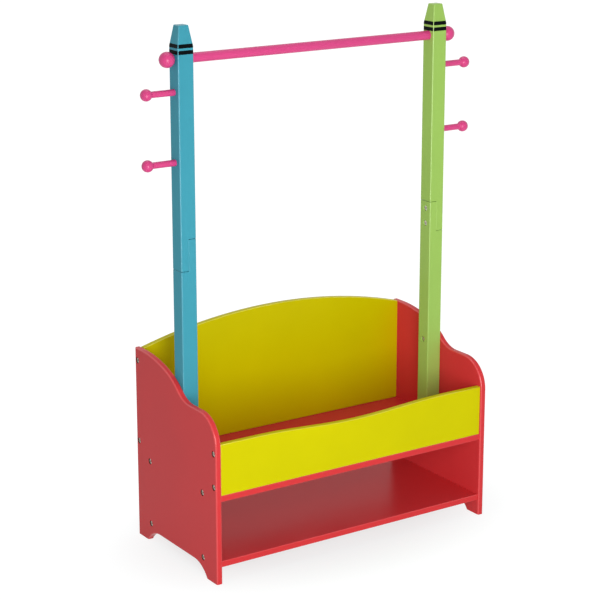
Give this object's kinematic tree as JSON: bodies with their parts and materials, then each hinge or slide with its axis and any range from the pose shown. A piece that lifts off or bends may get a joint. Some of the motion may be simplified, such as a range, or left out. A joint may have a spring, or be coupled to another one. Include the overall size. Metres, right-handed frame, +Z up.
{
  "type": "kids clothing rack",
  "caption": "Children's clothes rack: a low box of painted boards with an open shelf below, crayon-shaped posts, a round hanging rail between them and ball-ended coat pegs.",
  "frame": {"origin": "on the floor, in the middle of the rack's width and depth", "axes": "+X to the right seen from the front, -Y to the front, +Z up"},
  "size_m": [0.731, 0.294, 1.005],
  "materials": {
    "red_board": "satin red paint on fibreboard",
    "yellow_board": "satin yellow paint on fibreboard",
    "blue_post": "satin blue paint on solid wood",
    "green_post": "satin green paint on solid wood",
    "pink_turning": "satin pink paint on turned wood",
    "zinc_steel": "zinc-plated steel",
    "bare_beech": "bare beech"
  },
  "bodies": {
    "root": {"side_panel_left": "red_board", "side_panel_right": "red_board", "upper_shelf": "red_board", "lower_shelf": "red_board", "front_panel": "yellow_board", "back_panel": "yellow_board", "left_post_lower": "blue_post", "left_post_upper": "blue_post", "right_post_lower": "green_post", "right_post_upper": "green_post", "clothes_rail": "pink_turning", "rail_ball_left": "pink_turning", "rail_ball_right": "pink_turning", "peg_left_upper": "pink_turning", "peg_left_lower": "pink_turning", "peg_right_upper": "pink_turning", "peg_right_lower": "pink_turning", "panel_bolts_left": "zinc_steel", "panel_bolts_right": "zinc_steel", "barrel_nuts_left": "zinc_steel", "barrel_nuts_right": "zinc_steel", "lap_bolts_left": "zinc_steel", "lap_bolts_right": "zinc_steel", "lap_inserts_left": "zinc_steel", "lap_inserts_right": "zinc_steel", "post_bolts_left": "zinc_steel", "post_bolts_right": "zinc_steel", "post_inserts_left": "zinc_steel", "post_inserts_right": "zinc_steel", "rail_studs": "zinc_steel", "peg_studs": "zinc_steel", "board_dowels_left": "bare_beech", "board_dowels_right": "bare_beech"}
  },
  "joints": []
}
